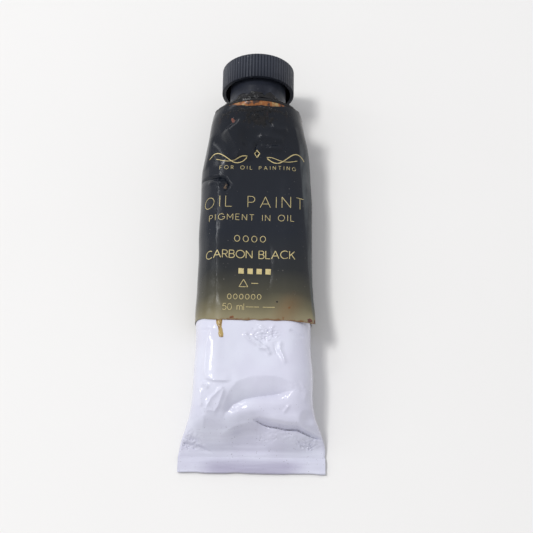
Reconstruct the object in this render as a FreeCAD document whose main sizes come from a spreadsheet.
import FreeCAD, Part
import os
import Sketcher

# Used collapsible tube of artist's paint: an aluminium tube with a screw cap.
# Millimetres. +Y runs along the neck towards the cap, +Z is up, and the tube
# lies on the plane z = 0. The origin is the middle of the footprint.

OUT_DIR = "parts"
VECTOR = FreeCAD.Vector

# ---------------------------------------------------------------- sizes
SIZES = {
    # whole object
    "total_length": 138.7,
    "tube_dia": 30.0,
    "rim_from_tail": 118.8,
    # soft aluminium sleeve
    "wall_thick": 0.15,
    "flat_trim": 0.02,
    # clear printed film round the upper part of the sleeve
    "film_thick": 0.10,
    "film_fit": 0.01,
    "film_top_gap": 0.30,
    "film_end": 73.7,
    # paint inside
    "paint_gap": 0.03,
    "paint_dip": 0.50,
    "paint_end": 94.0,
    # shoulder and nozzle, measured up from the lower end of the skirt
    "skirt_len": 0.6,
    "skirt_outer_r": 14.55,
    "skirt_inner_r": 14.05,
    "shoulder_r": 15.0,
    "shoulder_edge": 0.35,
    "shoulder_bevel": 0.45,
    "skirt_root": 0.25,
    "shoulder_rise": 3.3,
    "shoulder_thick": 1.1,
    "neck_foot_r": 6.9,
    "neck_foot": 0.6,
    "neck_r": 6.15,
    "bore_r": 4.2,
    "mouth_bevel": 0.3,
    "nozzle_len": 17.2,
    # screw thread
    "thread_pitch": 2.5,
    "thread_crest_r": 7.05,
    "thread_root_half": 0.72,
    "thread_crest_half": 0.35,
    "thread_start": 5.2,
    "thread_run": 10.0,
    "thread_bite": 0.15,
    # cap
    "cap_height": 15.8,
    "cap_r": 12.3,
    "cap_bevel": 0.5,
    "cap_wall": 1.2,
    "cap_top_thick": 1.6,
    "skirt_gap_height": 6.6,
    "recess_roof": 13.6,
    "collar_r": 9.5,
    "collar_bevel": 0.4,
    "cap_bore_r": 7.35,
    "cap_from_rim": 4.1,
    "cap_thread_crest_r": 6.45,
    "cap_thread_root_half": 0.65,
    "cap_thread_crest_half": 0.30,
    "cap_thread_run": 9.5,
    "thread_seat": 0.01,
    "rib_count": 72,
    "rib_groove_half": 0.38,
    "rib_groove_deep": 0.32,
    "rib_groove_out": 0.15,
    # liner in the cap
    "liner_r": 7.0,
    "liner_thick": 1.0,
    "liner_gap": 0.05,
    # folded tail
    "ply_pair": 0.30,
    "fold_gap": 0.10,
    "fold_bevel": 0.15,
    "tail_len": 5.1,
    "tail_trim": 0.05,
    "fold_start": 4.0,
    "last_fold_back": 0.3,
    "wedge_len": 0.9,
    "wedge_under": 0.1,
    "sealant_gap": 0.01,
    "sealant_inset": 0.4,
}

# The sleeve is squeezed flat towards the tail. Its skin can't stretch, so each
# section keeps the same distance round: a flat of pi (dia - height) / 2 between
# two half circles. Pairs of distance below the rim and height of the section.
SLEEVE_SECTIONS = (
    (0.0, 29.98),
    (1.2, 29.7),
    (5.5, 26.5),
    (12.5, 21.5),
    (19.5, 18.6),
    (42.5, 18.0),
    (80.5, 17.4),
    (95.5, 16.2),
    (102.5, 13.5),
    (106.5, 9.0),
    (110.5, 3.2),
    (113.7, 1.1),
)

doc = FreeCAD.newDocument("PaintTube")
sheet = doc.addObject("Spreadsheet::Sheet", "Sizes")


class Size:
    """A length held as a number and as the spreadsheet expression it came from."""

    def __init__(self, number, text):
        self.number = number
        self.text = text

    def _join(self, other, sign, number):
        text = other.text if isinstance(other, Size) else str(other)
        return Size(number, "(" + self.text + " " + sign + " " + text + ")")

    def __add__(self, other):
        return self._join(other, "+", self.number + number_of(other))

    def __sub__(self, other):
        return self._join(other, "-", self.number - number_of(other))

    def __mul__(self, other):
        return self._join(other, "*", self.number * number_of(other))

    def __truediv__(self, other):
        return self._join(other, "/", self.number / number_of(other))


def number_of(value):
    """Give the plain number behind a Size or a number."""
    return value.number if isinstance(value, Size) else float(value)


def fill_sheet():
    """Write every named size into the spreadsheet, one row each."""
    row = 0
    for name, number in SIZES.items():
        row += 1
        sheet.set("A" + str(row), name)
        sheet.set("B" + str(row), str(number))
        sheet.setAlias("B" + str(row), name)
    for index, (station, height) in enumerate(SLEEVE_SECTIONS):
        row += 1
        sheet.set("A" + str(row), "sleeve section " + str(index))
        sheet.set("B" + str(row), str(station))
        sheet.setAlias("B" + str(row), "section_at_" + str(index))
        sheet.set("C" + str(row), str(height))
        sheet.setAlias("C" + str(row), "section_height_" + str(index))
    doc.recompute()


def size(name):
    """Look a named size up."""
    return Size(SIZES[name], "Sizes." + name)


def new_body(node):
    """Start one sub-part."""
    body = doc.addObject("PartDesign::Body", node)
    body.Label = node
    return body


def origin_plane(body, role):
    """Find one of the body's own origin planes."""
    for feature in body.Origin.OriginFeatures:
        if feature.Role == role:
            return feature
    raise RuntimeError("no plane " + role)


def new_sketch(body, name, role, offset=None):
    """Put a sketch on an origin plane, moved out along its normal by offset."""
    sketch = body.newObject("Sketcher::SketchObject", name)
    sketch.AttachmentSupport = (origin_plane(body, role), [""])
    sketch.MapMode = "FlatFace"
    if offset is not None:
        sketch.AttachmentOffset = FreeCAD.Placement(
            VECTOR(0, 0, number_of(offset)), FreeCAD.Rotation())
        sketch.setExpression("AttachmentOffset.Base.z", offset.text)
    return sketch


def pin_point(sketch, edge, end, across, up, name):
    """Hold one end of an edge at two sizes from the sketch's origin."""
    for axis, kind, value in (("x", "DistanceX", across), ("y", "DistanceY", up)):
        if number_of(value) == 0.0:
            line = -2 if axis == "x" else -1
            sketch.addConstraint(Sketcher.Constraint("PointOnObject", edge, end, line))
            continue
        index = sketch.addConstraint(
            Sketcher.Constraint(kind, -1, 1, edge, end, number_of(value)))
        sketch.renameConstraint(index, name + axis)
        if isinstance(value, Size):
            sketch.setExpression("Constraints." + name + axis, value.text)


def draw_outline(sketch, points):
    """Draw a closed outline of straight edges with every corner held."""
    count = len(points)
    for index, (across, up) in enumerate(points):
        next_across, next_up = points[(index + 1) % count]
        sketch.addGeometry(Part.LineSegment(
            VECTOR(number_of(across), number_of(up), 0),
            VECTOR(number_of(next_across), number_of(next_up), 0)))
    for index in range(count):
        sketch.addConstraint(
            Sketcher.Constraint("Coincident", index, 2, (index + 1) % count, 1))
    for index, (across, up) in enumerate(points):
        pin_point(sketch, index, 1, across, up, "corner" + str(index))


def draw_circle(sketch, radius, across=0.0, up=0.0):
    """Draw one full circle with its centre and radius held."""
    centre = VECTOR(number_of(across), number_of(up), 0)
    sketch.addGeometry(Part.Circle(centre, VECTOR(0, 0, 1), number_of(radius)))
    index = sketch.addConstraint(Sketcher.Constraint("Radius", 0, number_of(radius)))
    sketch.renameConstraint(index, "radius")
    if isinstance(radius, Size):
        sketch.setExpression("Constraints.radius", radius.text)
    pin_point(sketch, 0, 3, across, up, "centre")


def draw_stadium(sketch, flat, radius, lift):
    """Draw a flattened ring: two flats joined by half circles, resting at lift."""
    half = number_of(flat) / 2
    round_r = number_of(radius)
    low = number_of(lift)
    high = low + 2 * round_r
    centre_up = low + round_r
    normal = VECTOR(0, 0, 1)
    quarter = 1.5707963267948966
    sketch.addGeometry(Part.LineSegment(VECTOR(-half, low, 0), VECTOR(half, low, 0)))
    right_side = Part.Circle(VECTOR(half, centre_up, 0), normal, round_r)
    sketch.addGeometry(Part.ArcOfCircle(right_side, -quarter, quarter))
    sketch.addGeometry(Part.LineSegment(VECTOR(half, high, 0), VECTOR(-half, high, 0)))
    left_side = Part.Circle(VECTOR(-half, centre_up, 0), normal, round_r)
    sketch.addGeometry(Part.ArcOfCircle(left_side, quarter, 3 * quarter))
    for edge in range(4):
        sketch.addConstraint(Sketcher.Constraint("Tangent", edge, 2, (edge + 1) % 4, 1))
    sketch.addConstraint(Sketcher.Constraint("Symmetric", 0, 1, 0, 2, -2))
    index = sketch.addConstraint(Sketcher.Constraint("DistanceX", 0, 1, 0, 2, 2 * half))
    sketch.renameConstraint(index, "flat")
    sketch.setExpression("Constraints.flat", flat.text)
    index = sketch.addConstraint(Sketcher.Constraint("Radius", 1, round_r))
    sketch.renameConstraint(index, "round_r")
    sketch.setExpression("Constraints.round_r", radius.text)
    if low == 0.0:
        sketch.addConstraint(Sketcher.Constraint("PointOnObject", 0, 1, -1))
    else:
        index = sketch.addConstraint(Sketcher.Constraint("DistanceY", -1, 1, 0, 1, low))
        sketch.renameConstraint(index, "lift")
        sketch.setExpression("Constraints.lift", lift.text)


def loft_sleeve(body, kind, name, inset, lift):
    """Loft the sleeve's sections, each drawn smaller by inset all round."""
    sketches = []
    for index, (station, height) in enumerate(SLEEVE_SECTIONS):
        at = Size(station, "Sizes.section_at_" + str(index))
        tall = Size(height, "Sizes.section_height_" + str(index))
        sketch = new_sketch(body, name + "Section" + str(index), "XZ_Plane", at)
        flat = Size(3.141592653589793, "3.141592653589793") * (size("tube_dia") - tall) / 2
        draw_stadium(sketch, flat, tall / 2 - inset, lift)
        sketches.append(sketch)
    loft = body.newObject(kind, name)
    loft.Profile = sketches[0]
    loft.Sections = sketches[1:]
    loft.Ruled = False
    loft.Closed = False
    return loft


def revolve(body, name, points):
    """Turn an outline of radius and height round the body's own Z axis."""
    sketch = new_sketch(body, name + "Profile", "XZ_Plane")
    draw_outline(sketch, points)
    turned = body.newObject("PartDesign::Revolution", name)
    turned.Profile = sketch
    turned.ReferenceAxis = (sketch, ["V_Axis"])
    turned.Angle = 360
    return turned


def add_thread(body, name, points, run):
    """Add a right-hand thread of the given ridge section."""
    sketch = new_sketch(body, name + "Ridge", "XZ_Plane")
    draw_outline(sketch, points)
    thread = body.newObject("PartDesign::AdditiveHelix", name)
    thread.Profile = sketch
    thread.ReferenceAxis = (sketch, ["V_Axis"])
    thread.Mode = 0
    thread.Pitch = SIZES["thread_pitch"]
    thread.Height = number_of(run)
    thread.setExpression("Pitch", size("thread_pitch").text)
    thread.setExpression("Height", run.text)
    thread.Angle = 0
    thread.LeftHanded = False
    thread.Reversed = False
    return thread


def cut_disc(body, name, role, offset, depth, reverse):
    """Cut away everything on one side of a plane, out to a wide disc."""
    sketch = new_sketch(body, name + "Disc", role, offset)
    draw_circle(sketch, size("total_length"))
    cut = body.newObject("PartDesign::Pocket", name)
    cut.Profile = sketch
    cut.Length = number_of(depth)
    cut.setExpression("Length", depth.text)
    cut.Reversed = reverse
    return cut


def place(body, along, up, along_neck=False):
    """Set a sub-part's place; parts turned round the neck are laid down to +Y."""
    turn = FreeCAD.Rotation(VECTOR(1, 0, 0), -90 if along_neck else 0)
    body.Placement = FreeCAD.Placement(
        VECTOR(0, number_of(along), number_of(up)), turn)
    body.setExpression("Placement.Base.y", along.text)
    body.setExpression("Placement.Base.z", up.text)


fill_sheet()

tail_end = size("total_length") / -2
rim = tail_end + size("rim_from_tail")
sleeve_floor = size("film_thick") - size("flat_trim")
neck_height = size("tube_dia") / 2 + sleeve_floor

# ---------------------------------------------------------------- nozzle and shoulder
nozzle = new_body("threaded_nozzle")
skirt = size("skirt_len")
edge_top = skirt + size("shoulder_edge")
cone_top = skirt + size("shoulder_rise")
neck_start = cone_top + size("neck_foot")
mouth = skirt + size("nozzle_len")
revolve(nozzle, "Turned", (
    (size("bore_r"), mouth),
    (size("neck_r") - size("mouth_bevel"), mouth),
    (size("neck_r"), mouth - size("mouth_bevel")),
    (size("neck_r"), neck_start),
    (size("neck_foot_r"), cone_top),
    (size("shoulder_r") - size("shoulder_bevel"), edge_top + size("shoulder_bevel")),
    (size("shoulder_r"), edge_top),
    (size("shoulder_r"), skirt),
    (size("skirt_outer_r"), skirt),
    (size("skirt_outer_r"), Size(0.0, "0")),
    (size("skirt_inner_r"), Size(0.0, "0")),
    (size("skirt_inner_r"), skirt - size("skirt_root")),
    (size("bore_r"), cone_top - size("shoulder_thick")),
))
thread_at = skirt + size("thread_start")
add_thread(nozzle, "Thread", (
    (size("neck_r") - size("thread_bite"), thread_at - size("thread_root_half")),
    (size("thread_crest_r"), thread_at - size("thread_crest_half")),
    (size("thread_crest_r"), thread_at + size("thread_crest_half")),
    (size("neck_r") - size("thread_bite"), thread_at + size("thread_root_half")),
), size("thread_run"))
place(nozzle, rim - skirt, neck_height, True)

# ---------------------------------------------------------------- soft sleeve
sleeve = new_body("tube_sleeve")
nothing = Size(0.0, "0")
loft_sleeve(sleeve, "PartDesign::AdditiveLoft", "Skin", nothing, nothing)
loft_sleeve(sleeve, "PartDesign::SubtractiveLoft", "Hollow",
            size("wall_thick"), size("wall_thick"))
cut_disc(sleeve, "Rest", "XY_Plane", size("flat_trim"), size("tube_dia"), False)
place(sleeve, rim, sleeve_floor)

# ---------------------------------------------------------------- film label
label = new_body("wrap_label")
loft_sleeve(label, "PartDesign::AdditiveLoft", "Film",
            nothing - size("film_thick"), nothing)
loft_sleeve(label, "PartDesign::SubtractiveLoft", "TubeRoom",
            nothing - size("film_fit"), size("film_thick") - size("film_fit"))
cut_disc(label, "LowerEdge", "XZ_Plane", size("film_end"), size("total_length"), True)
cut_disc(label, "UpperEdge", "XZ_Plane", size("film_top_gap"), size("total_length"), False)
cut_disc(label, "FilmRest", "XY_Plane", size("flat_trim"), size("tube_dia"), False)
place(label, rim, nothing - size("flat_trim"))

# ---------------------------------------------------------------- paint inside
paint = new_body("paint_charge")
paint_inset = size("wall_thick") + size("paint_gap")
loft_sleeve(paint, "PartDesign::AdditiveLoft", "Mass", paint_inset, nothing)
cut_disc(paint, "BelowSkirt", "XZ_Plane", skirt + size("paint_gap"),
         size("total_length"), False)
cut_disc(paint, "TailAir", "XZ_Plane", size("paint_end"), size("total_length"), True)
plug_sketch = new_sketch(paint, "NeckPaintProfile", "YZ_Plane")
plug_axis = size("tube_dia") / 2 - paint_inset
plug_bore = plug_axis + size("bore_r") - size("paint_gap")
plug_skirt = plug_axis + size("skirt_inner_r") - size("paint_gap")
plug_base = nothing - skirt - size("paint_gap")
plug_foot = nothing - size("skirt_root") - size("paint_gap") * 2
plug_top = size("nozzle_len") - size("paint_dip")
cone_end = size("shoulder_rise") - size("shoulder_thick") - size("paint_gap") * 2
draw_outline(plug_sketch, (
    (plug_base, plug_axis),
    (plug_top, plug_axis),
    (plug_top, plug_bore),
    (cone_end, plug_bore),
    (plug_foot, plug_skirt),
    (plug_base, plug_skirt),
))
plug = paint.newObject("PartDesign::Revolution", "NeckPaint")
plug.Profile = plug_sketch
plug.ReferenceAxis = (plug_sketch, ["Edge1"])
plug.Angle = 360
place(paint, rim, sleeve_floor + paint_inset)

# ---------------------------------------------------------------- cap
cap = new_body("screw_cap")
revolve(cap, "Moulding", (
    (nothing, size("cap_height")),
    (size("cap_r") - size("cap_bevel"), size("cap_height")),
    (size("cap_r"), size("cap_height") - size("cap_bevel")),
    (size("cap_r"), size("skirt_gap_height")),
    (size("cap_r") - size("cap_wall"), size("skirt_gap_height")),
    (size("cap_r") - size("cap_wall"), size("recess_roof")),
    (size("collar_r"), size("recess_roof")),
    (size("collar_r"), size("collar_bevel")),
    (size("collar_r") - size("collar_bevel"), nothing),
    (size("cap_bore_r") + size("collar_bevel"), nothing),
    (size("cap_bore_r"), size("collar_bevel")),
    (size("cap_bore_r"), size("cap_height") - size("cap_top_thick")),
    (nothing, size("cap_height") - size("cap_top_thick")),
))
groove_sketch = new_sketch(cap, "GripGrooveProfile", "XY_Plane")
groove_out = size("cap_r") + size("rib_groove_out")
draw_outline(groove_sketch, (
    (size("cap_r") - size("rib_groove_deep"), nothing),
    (groove_out, nothing - size("rib_groove_half")),
    (groove_out, size("rib_groove_half")),
))
groove = cap.newObject("PartDesign::Pocket", "GripGroove")
groove.Profile = groove_sketch
groove.Reversed = True
groove.Length = SIZES["cap_height"] + 1
groove.setExpression("Length", (size("cap_height") + 1).text)
grip = cap.newObject("PartDesign::PolarPattern", "Grip")
grip.Originals = [groove]
grip.Axis = (groove_sketch, ["N_Axis"])
grip.Angle = 360
grip.Occurrences = SIZES["rib_count"]
grip.setExpression("Occurrences", size("rib_count").text)
cap.Tip = grip
place(cap, rim + size("cap_from_rim"), neck_height, True)

# ---------------------------------------------------------------- thread in the cap
# Moulded in one with the cap, and kept as a node of its own so that the cap
# stays a plain hollow shape. It shares the nozzle's pitch, half a pitch apart.
cap_thread = new_body("cap_thread")
cap_thread_at = size("thread_start") - size("cap_from_rim") + size("thread_pitch") / 2
thread_root = size("cap_bore_r") - size("thread_seat")
add_thread(cap_thread, "InnerThread", (
    (thread_root, cap_thread_at - size("cap_thread_root_half")),
    (thread_root, cap_thread_at + size("cap_thread_root_half")),
    (size("cap_thread_crest_r"), cap_thread_at + size("cap_thread_crest_half")),
    (size("cap_thread_crest_r"), cap_thread_at - size("cap_thread_crest_half")),
), size("cap_thread_run"))
place(cap_thread, rim + size("cap_from_rim"), neck_height, True)

# ---------------------------------------------------------------- cap liner
liner = new_body("cap_liner")
revolve(liner, "Disc", (
    (nothing, nothing),
    (size("liner_r"), nothing),
    (size("liner_r"), size("liner_thick")),
    (nothing, size("liner_thick")),
))
liner_at = rim + size("nozzle_len") + size("liner_gap")
place(liner, liner_at, neck_height, True)

# ---------------------------------------------------------------- folded tail
tail = new_body("folded_tail")
ply = size("ply_pair")
gap = size("fold_gap")
bevel = size("fold_bevel")
layer_two = ply + gap
layer_three = layer_two + layer_two
top_face = layer_three + ply
fold_start = size("fold_start")
fold_inner = size("last_fold_back")
tail_sketch = new_sketch(tail, "FoldProfile", "YZ_Plane")
draw_outline(tail_sketch, (
    (size("tail_len"), top_face),
    (bevel, top_face),
    (nothing, top_face - bevel),
    (nothing, layer_two + bevel),
    (bevel, layer_two),
    (fold_start - fold_inner, layer_two),
    (fold_start - fold_inner, ply),
    (fold_inner, ply),
    (fold_inner, nothing),
    (fold_start - bevel, nothing),
    (fold_start, bevel),
    (fold_start, layer_two + ply - bevel),
    (fold_start - bevel, layer_two + ply),
    (fold_inner, layer_two + ply),
    (fold_inner, layer_three),
    (size("tail_len") - size("wedge_len"), layer_three),
    (size("tail_len"), size("wedge_under")),
))
fold = tail.newObject("PartDesign::Pad", "Fold")
fold.Profile = tail_sketch
fold.Midplane = True
tail_width = size("tube_dia") * 1.5707963267948966 - size("tail_trim") * 2
fold.Length = tail_width.number
fold.setExpression("Length", tail_width.text)
place(tail, tail_end, size("film_thick"))

# ---------------------------------------------------------------- tail sealant
sealant = new_body("tail_sealant")
seal_sketch = new_sketch(sealant, "StripProfile", "YZ_Plane")
seal_start = size("last_fold_back") + size("sealant_gap")
seal_end = fold_start - size("sealant_inset")
seal_top = gap - size("sealant_gap") * 2
draw_outline(seal_sketch, (
    (seal_start, nothing),
    (seal_end, nothing),
    (seal_end, seal_top),
    (seal_start, seal_top),
))
strip = sealant.newObject("PartDesign::Pad", "Strip")
strip.Profile = seal_sketch
strip.Midplane = True
strip.Length = tail_width.number - 1
strip.setExpression("Length", (tail_width - 1).text)
place(sealant, tail_end, size("film_thick") + layer_two + ply + size("sealant_gap"))

# ---------------------------------------------------------------- finish
doc.recompute()

SUB_PARTS = (nozzle, sleeve, label, paint, cap, cap_thread, liner, tail, sealant)


def check_model():
    """Stop if any feature failed or any sub-part is not a sound single solid."""
    for feature in doc.Objects:
        for word in feature.State:
            if word in ("Invalid", "Error"):
                raise RuntimeError("feature failed: " + feature.Name)
    for body in SUB_PARTS:
        shape = body.Shape
        if shape.isNull() or not shape.isValid():
            raise RuntimeError("bad shape: " + body.Label)
        if len(shape.Solids) != 1:
            raise RuntimeError("not one solid: " + body.Label)


check_model()
os.makedirs(OUT_DIR, exist_ok=True)
for body in SUB_PARTS:
    body.Shape.exportStep(OUT_DIR + "/" + body.Label + ".step")
    box = body.Shape.BoundBox
    print(body.Label, round(body.Shape.Volume, 2),
          [round(value, 2) for value in (box.XMin, box.XMax, box.YMin, box.YMax, box.ZMin, box.ZMax)])
